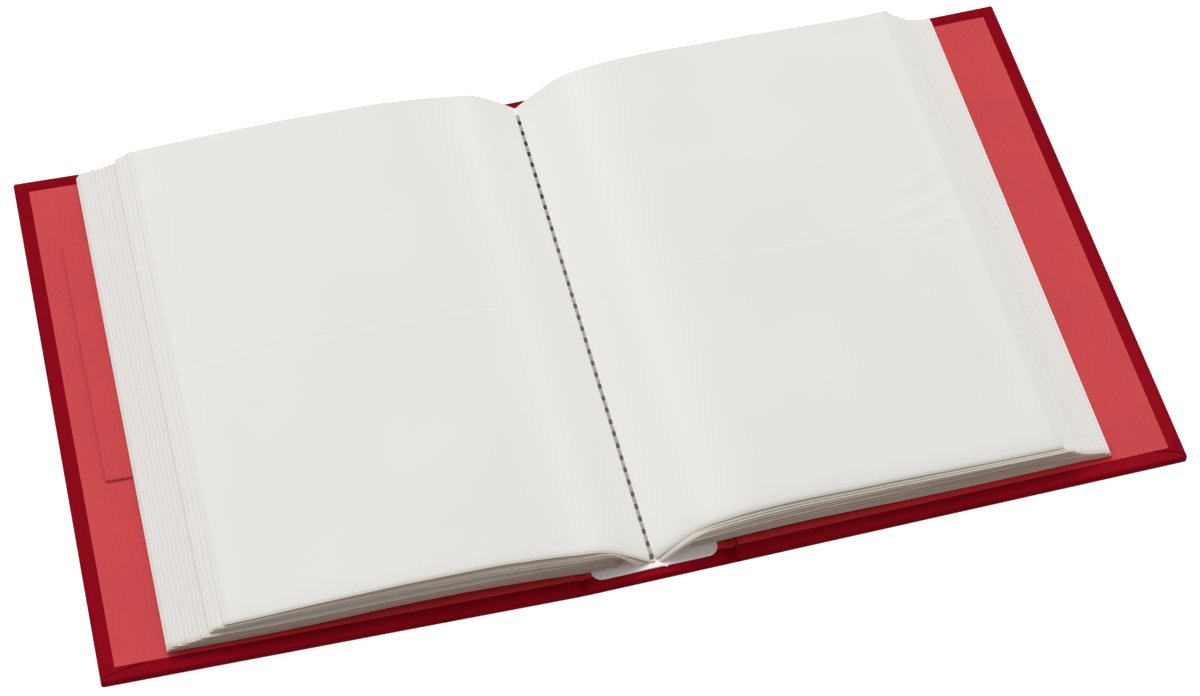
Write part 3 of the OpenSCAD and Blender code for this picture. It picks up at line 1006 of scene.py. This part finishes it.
class ALBUM_OT_endpapers(Operator):
    """Lay the coral endpapers, their strips through the joints and the front pocket"""

    bl_idname = "album.endpapers"
    bl_label = "Endpapers"

    def execute(self, context):
        paper = paper_material()
        for side in SIDES:
            cover = COVER_OF[side]
            pts, faces = rounded_slab(
                BOARD_IN, PAPER_W, PAPER_HALF_H, CASE_T, PAPER_TOP + PROUD, 0.06, 0.25
            )
            sheet = cover_piece(cover + "_paper", pts, faces, paper, side)
            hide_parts(cover + "_endpaper")
            self.strip(side, paper)
        self.pocket(paper)
        return {"FINISHED"}

    def strip(self, side, paper):
        """The endpaper dips into the joint and runs in under the plate."""
        start = min(abs(corner[0]) for corner in box_mm(COVER_OF[side] + "_joint_paper"))
        flat, groove = np.linspace(start, SPINE_HALF - 0.2, 4), np.linspace(-1, 1, 25)
        d = np.r_[flat, JOINT_X + groove * JOINT_HALF, JOINT_X + BOARD_IN + STRIP_LAP]
        share = ramp(d, SPINE_HALF, 2 * BOARD_IN)
        middle = through_joint(d, CASE_T + 0.11, share, side)
        dip = np.cos(np.pi / 2 * np.clip((d - JOINT_X) / JOINT_HALF, -1, 1)) ** 1.25
        middle[:, 2] -= PAPER_GROOVE * GROOVE[side] * dip
        rows = np.linspace(-PAPER_HALF_H, PAPER_HALF_H, 30)
        verts = []
        # the paper's two faces
        for off in (0.11, -0.09):
            for y in rows:
                line = middle + (0, 0, off)
                line[:, 1] = y
                verts += line.tolist()
        faces, rim = sheet_faces(len(rows), len(d))
        faces = side_faces(faces + rim, side)
        obj = piece(COVER_OF[side] + "_paper_joint", on_side(verts, side), faces, [paper])
        bend_at_joint(obj)
        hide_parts(COVER_OF[side] + "_joint_paper")

    def pocket(self, paper):
        """A flat pocket, glued on three sides, whose mouth towards the fore-edge stands a little open."""
        lo, hi = box_mm("front_pocket")
        y0, y1 = lo[1], hi[1]
        d1 = PAPER_W - POCKET_INSET
        d0 = d1 - POCKET_W
        # the glued edges are rounded off over this width
        lip = 0.5
        cols = np.r_[
            np.linspace(d0, d0 + lip, 4), np.linspace(d0 + 6, d1 - 12, 12), np.linspace(d1 - 10, d1, 10)
        ]
        rows = np.r_[
            np.linspace(y0, y0 + lip, 4), np.linspace(y0 + 4, y1 - 4, 22), np.linspace(y1 - lip, y1, 4)
        ]
        c, r = np.meshgrid(cols, rows)
        glued = np.minimum.reduce([(c - d0) / lip, (r - y0) / lip, (y1 - r) / lip, np.ones_like(c)])
        crown = np.sqrt(np.clip(1 - np.square(1 - np.clip(glued, 0, 1)), 0, 1))
        # the flap gapes at the middle of its mouth, and isn't pressed down by leaves there
        gape = bell(d1 - c, 6.0) * np.sin(np.pi * ramp(r, y0, y1 - y0)) ** 0.7
        free = np.clip((c - d1 + 15) / 8, 0, 1)
        ground = PAPER_TOP + 0.06
        top = ground + (0.42 + 0.62 * free) * crown + 0.45 * gape
        # it is a single thickness of paper at the mouth, and solid further in
        low = np.where(c > d1 - 11, np.maximum(ground, top - 0.3), PAPER_TOP + 0.01)
        low = np.minimum(low, top - 0.04)
        verts = np.concatenate([np.stack([c, r, z], -1).reshape(-1, 3) for z in (top, low)])
        faces, rim = sheet_faces(*c.shape)
        obj = cover_piece("front_paper_pocket", verts, faces + rim, paper, "left")
        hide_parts("front_pocket")


class ALBUM_OT_binding(Operator):
    """Lay the binding plate, the pressed centre fold and the three seams"""

    bl_idname = "album.binding"
    bl_label = "Binding"

    def execute(self, context):
        binding = settings("binding")
        plate = plate_material()
        thread = thread_material("sewing_thread", tuple(binding.thread_colour))
        slot = thread_material("needle_slot_shade", tuple(binding.slot_shade_colour), dark=True)
        half_w, half_h, top = PLATE_HI
        corner = mm(binding.plate_round)
        pts, faces = rounded_slab(-half_w, half_w, half_h, PLATE_LO[2], top, 0.25, corner, True)
        pts[:, 1] -= HEAD_GAP * (pts[:, 1] > 0)
        obj = piece("binding_strip", pts, faces, [plate], "spine")
        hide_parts("binding_plate")
        # the moulding's little nub at the tail
        pts, faces = rounded_slab(-0.75, 0.75, 0.9, top - 0.5, top + PROUD, 0.15, 0.4, True)
        pts[:, :2] += (3.6, PLATE_LO[1] + 0.45)
        nub = piece("binding_strip_nub", pts, faces, [plate], "spine")
        self.fold(film_material("fold_film", ribs=False))
        self.seam("centre", -mm(binding.seam_shift), FOLD_HI[2], thread, slot)
        for side in SIDES:
            self.seam(side, SIGN[side] * SECTION_PITCH, top, thread, slot)
        return {"FINISHED"}

    def fold(self, film):
        """Nine pressed folds, one over the other, sewn down in a shallow valley."""
        binding = settings("binding")
        half = FOLD_HI[0]
        # the profile across the folds
        x = np.array([-1.0, -0.94, -0.8, -0.5, 0.0, 0.5, 0.8, 0.94, 1.0]) * half
        z = np.array([-0.9, -0.25, 0.0, -0.05, -0.12, -0.05, 0.0, -0.25, -0.9]) + FOLD_HI[2]
        y = np.linspace(FOLD_LO[1] + 0.3, FOLD_HI[1] - HEAD_GAP, 161)
        # every stitch draws the folds down
        sink = 0.10 * np.cos(2 * np.pi * y / mm(binding.stitch_pitch))
        across, along_y = np.meshgrid(x, y)
        top = z - 0.06 + sink[:, None] * (np.abs(x) < 0.7 * half)
        levels = (top, np.full_like(top, PLATE_TOP + 0.01))
        verts = np.concatenate([np.stack([across, along_y, v], -1).reshape(-1, 3) for v in levels])
        verts -= (mm(binding.seam_shift), 0, 0)
        uv = np.stack([np.abs(across) * MM, (along_y - LEAF_TAIL) * MM], -1).reshape(-1, 2)
        faces, rim = sheet_faces(*top.shape)
        obj = piece("pressed_folds", verts, faces + rim, [film], "spine", uv=np.tile(uv, (2, 1)))
        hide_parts("centre_fold")

    def seam(self, name, x, z, thread, slot):
        """Thread that rises out of one needle slot and sinks into the next."""
        binding = settings("binding")
        around, steps = 8, 9
        lo, hi = box_mm(name + "_stitches")
        pitch, span, wide = mm(binding.stitch_pitch), mm(binding.stitch_l), mm(binding.thread_w)
        slot_x, slot_y = mm(binding.slot_w) / 2, mm(binding.slot_l) / 2
        count = int(round((hi[1] - lo[1] - span) / pitch)) + 1
        middle = (lo[1] + hi[1]) / 2
        turns = [2 * math.pi * a / around for a in range(around)]
        verts, faces, dark_v, dark_f = [], [], [], []
        # the middle seam ends in a slot right at the tail
        tail_slot = name == "centre"
        for i in range(count):
            y = middle + (i - (count - 1) / 2) * pitch
            rings = []
            for t in (k / steps for k in range(steps + 1)):
                # the thread is flat and wide on top and narrow where it sinks in
                bow = math.sin(math.pi * t)
                narrow = 0.55 + 0.45 * bow ** 0.4
                height = z - 0.16 + 0.20 * bow ** 0.5
                rings.append([
                    (
                        x + wide / 2 * narrow * math.cos(a),
                        y + span * (t - 0.5),
                        height + 0.17 * narrow * math.sin(a),
                    )
                    for a in turns
                ])
            more_v, more_f = loft(rings, flip=True, start=len(verts))
            verts += more_v
            faces += more_f
            if i < count - 1 or tail_slot:
                # a dark patch of painted shade for each needle slot
                pts, quads = rounded_slab(-slot_x, slot_x, slot_y, -0.3, 0.015, 0.03, 0.25, True)
                start = len(dark_v)
                dark_v += (pts + (x, y - pitch / 2 if tail_slot else y + pitch / 2, z)).tolist()
                dark_f += [[start + v for v in q] for q in quads]
        obj = piece(name + "_thread", verts, faces, [thread], "spine")
        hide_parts(name + "_stitches")
        slot_shade_patches = piece(name + "_needle_slots", dark_v, dark_f, [slot], "spine")


class ALBUM_OT_side_sections(Operator):
    """Fold and stack the sheets of the left and right sections"""

    bl_idname = "album.side_sections"
    bl_label = "Side sections"

    def execute(self, context):
        leaf = settings("leaf")
        film = film_material("film_sheet", tail_tint_reach=0.003)
        # the side sections' edge colours hold painted shade
        rims = {
            "left": rim_material("sheet_edge_left_shaded", tuple(leaf.front_shaded_rim_colour)),
            "right": rim_material("sheet_edge_right_shaded", tuple(leaf.back_shaded_rim_colour)),
        }
        rng = np.random.default_rng(leaf.seed)
        rows = leaf_rows()
        for side in SIDES:
            for sheet in range(1, SHEETS + 1):
                curve, fold_s = sheet_curve(sheet, side)
                end, before, after = curve.length, fold_s - 9.0, fold_s + 9.0
                cols = spread(
                    [0, 1.2, 14, before, after, end - 14, end - 1.2, end], [0.6, 3, 7, 0.55, 7, 3, 0.6]
                )
                tail, trim = SHEET_TAIL[side]
                tail += rng.uniform(-0.25, 0.25)
                ribs = 0.0
                if sheet == 1:
                    tail, trim = LOWEST_TAIL[side]
                    if side == "right":
                        # the lowest pocket's welded tail stands out from under the others
                        ribs = mm(leaf.rib_depth)
                        ribbed = np.arange(1.5, before, mm(leaf.rib_pitch) / 2)
                        cols = np.r_[np.linspace(0, 1.2, 4), ribbed, cols[cols > before]]
                share = (sheet - 1) / (SHEETS - 1)
                jut = [first + more * share for first, more in zip(*SHEET_JUT[side])]
                obj = film_sheet(
                    f"{side}_film_sheet_{sheet}", curve, side, cols, rows, LEAF_TAIL + tail,
                    mm(leaf.film_t), (film, rims[side]), fold_s=fold_s, ribs=ribs, jut=jut, trim=trim,
                )
                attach(obj, side + "_section")
                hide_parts(f"{side}_sheet_{sheet}")
        return {"FINISHED"}


class ALBUM_OT_centre_section(Operator):
    """Open the centre section's leaves out of the gutter"""

    bl_idname = "album.centre_section"
    bl_label = "Centre section"

    def execute(self, context):
        leaf = settings("leaf")
        materials = film_material("film_leaf"), rim_material("leaf_edge", tuple(leaf.rim_colour))
        rng = np.random.default_rng(leaf.seed + 1)
        step = mm(leaf.rib_pitch) / 2
        for side in SIDES:
            for n in range(1, LEAVES + 1):
                curve = centre_curve(n, side)
                end = curve.length
                ribs = mm(leaf.rib_depth) if n in RIBBED_LEAVES else 0.0
                if ribs:
                    first, last = spread([0, 2], [0.4])[:-1], [end - 1.2, end - 0.6, end]
                    cols = np.r_[first, np.arange(2, end - 1.3, step), last]
                else:
                    cols = spread([0, 30, end - 14, end - 1.2, end], [0.9, 6, 3, 0.6])
                tail = SET_TAIL[side].get(n, rng.uniform(-0.3, 0.3) + LEAF_SHIFT[side])
                top = n == 1
                obj = film_sheet(
                    f"{side}_film_leaf_{n}", curve, side, cols, leaf_rows(fine=top), LEAF_TAIL + tail,
                    mm(leaf.pocket_t), materials, lift=TOP_LIFT[side] if top else None, ribs=ribs,
                    slip=SLIP, trim=LEAF_TRIM[side].get(n, 0.0), sag=LEAF_SAG[side].get(n, 0.0),
                )
                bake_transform(obj)
                replaced = [f"centre_{side}_leaf_{n}"] + [f"centre_{side}_roots"] * top
                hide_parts(*replaced)
        return {"FINISHED"}


def top_waves(u, v):
    """Gentle waves of the leaf on top, and the dent of its middle weld, in millimetres."""
    wave = 0.10 * np.sin(v / 33 + u / 47) + 0.07 * np.sin(v / 19 - u / 61 + 1.3)
    return ramp(u, 18, 40) * (0.10 + wave) - 0.05 * bell(v - LEAF_H * MIDDLE_WELD, 0.5) * ramp(u, 14, 6)


def left_lift(u, v):
    """The left leaf lifts a little at its tail corner."""
    return top_waves(u, v) + 0.35 * bell(u - 156, 8) * bell(v - 6, 16)


def right_lift(u, v):
    """The right leaf is creased by handling and lifts at both outer corners."""
    up = top_waves(u, v)
    for at, height, slant, depth in CREASES:
        up = up + depth * (bell((v - height) - slant * (u - at), 1.7) * bell(u - at, 9.0))
    up = up + 0.9 * bell(u - 156, 9) * bell(v - LEAF_H, 9)
    return up + 0.35 * bell(u - 150, 8) * bell(v - 14, 14)


TOP_LIFT = {"left": left_lift, "right": right_lift}


class ALBUM_OT_stage(Operator):
    """Set the floor, the room's light, the lamp and the camera"""

    bl_idname = "album.stage"
    bl_label = "Stage"

    def execute(self, context):
        stage = settings("stage")
        scene = context.scene
        scene.view_settings.view_transform = "Standard"
        self.floor(stage)
        self.room(scene, stage)
        self.lamp(scene, stage)
        self.camera(scene, stage)
        return {"FINISHED"}

    def floor(self, stage):
        """A floor that takes the shadow and looks pale to the camera."""
        mat = bpy.data.materials.new("pale_floor")
        mat.use_nodes = True
        n = Nodes(mat.node_tree)
        matte = n.node("ShaderNodeBsdfDiffuse", Color=(*stage.floor_colour, 1))
        glow = n.node("ShaderNodeEmission", Strength=n.math("MULTIPLY", seen_ray(n), stage.floor_glow))
        both = n.node("ShaderNodeAddShader", matte.outputs[0], glow.outputs[0])
        n.node("ShaderNodeOutputMaterial", both.outputs[0])
        corners = ((-1, -1), (1, -1), (1, 1), (-1, 1))
        verts = [(x * FLOOR_HALF, y * FLOOR_HALF, FLOOR_Z) for x, y in corners]
        floor = piece("floor", verts, [[0, 1, 2, 3]], [mat])

    def room(self, scene, stage):
        """Even light from all sides, in front of plain white."""
        scene.world = bpy.data.worlds.new("studio_room")
        scene.world.use_nodes = True
        n = Nodes(scene.world.node_tree)
        light = n.node("ShaderNodeBackground", Color=WHITE, Strength=stage.world_strength)
        white = n.node("ShaderNodeBackground", Color=WHITE, Strength=1.0)
        mix = n.node("ShaderNodeMixShader", seen_ray(n), light.outputs[0], white.outputs[0])
        n.node("ShaderNodeOutputWorld", mix.outputs[0])

    def lamp(self, scene, stage):
        """One large round lamp beyond the head, aimed at the album."""
        data = bpy.data.lights.new("key_lamp", "AREA")
        data.shape = "DISK"
        data.size = KEY_LAMP_SIZE
        data.energy = stage.key_power
        obj = bpy.data.objects.new("key_lamp", data)
        scene.collection.objects.link(obj)
        aim = (-Vector(KEY_LAMP_AT)).to_track_quat("-Z", "Y").to_matrix().to_4x4()
        obj.matrix_world = Matrix.Translation(KEY_LAMP_AT) @ aim

    def camera(self, scene, stage):
        """The camera, above and before the tail, a little to the left."""
        data = bpy.data.cameras.new("album_camera")
        data.lens = stage.lens
        data.sensor_width = 36
        data.sensor_fit = "HORIZONTAL"
        data.clip_start, data.clip_end = 0.05, 20
        obj = bpy.data.objects.new("album_camera", data)
        scene.collection.objects.link(obj)
        obj.matrix_world = Matrix.Translation(CAMERA_AT) @ Matrix(CAMERA_AXES).transposed().to_4x4()
        scene.camera = obj


def seen_ray(nodes):
    """1 on rays that the camera sees directly, in a mirror or through glass."""
    path = nodes.node("ShaderNodeLightPath").outputs
    seen = nodes.math("MAXIMUM", path["Is Camera Ray"], path["Is Glossy Ray"])
    return nodes.math("MAXIMUM", seen, path["Is Transmission Ray"])


STEPS = (
    ALBUM_OT_case,
    ALBUM_OT_endpapers,
    ALBUM_OT_binding,
    ALBUM_OT_side_sections,
    ALBUM_OT_centre_section,
    ALBUM_OT_stage,
)


class ALBUM_PT_panel(Panel):
    """Lists the album's building steps and settings"""

    bl_idname = "ALBUM_PT_panel"
    bl_label = "Pocket Album"
    bl_space_type = "VIEW_3D"
    bl_region_type = "UI"
    bl_category = "Album"

    def draw(self, context):
        for step in STEPS:
            self.layout.operator(step.bl_idname)
        for part in GROUPS:
            box = self.layout.box()
            group = settings(part)
            for key in group.bl_rna.properties.keys():
                if key not in ("rna_type", "name"):
                    box.prop(group, key)


GROUPS = {"case": CaseSettings, "binding": BindingSettings, "leaf": LeafSettings, "stage": StageSettings}


def register():
    """Adds the settings, the operators and the panel."""
    for cls in (*GROUPS.values(), *STEPS, ALBUM_PT_panel):
        bpy.utils.register_class(cls)
    for part, cls in GROUPS.items():
        setattr(bpy.types.Scene, "album_" + part, PointerProperty(type=cls))


def unregister():
    """Takes them away again."""
    for part in GROUPS:
        delattr(bpy.types.Scene, "album_" + part)
    for cls in (ALBUM_PT_panel, *reversed(STEPS), *GROUPS.values()):
        bpy.utils.unregister_class(cls)


def main():
    """Builds the whole album."""
    register()
    for step in STEPS:
        group, name = step.bl_idname.split(".")
        getattr(getattr(bpy.ops, group), name)()


if __name__ == "__main__":
    main()
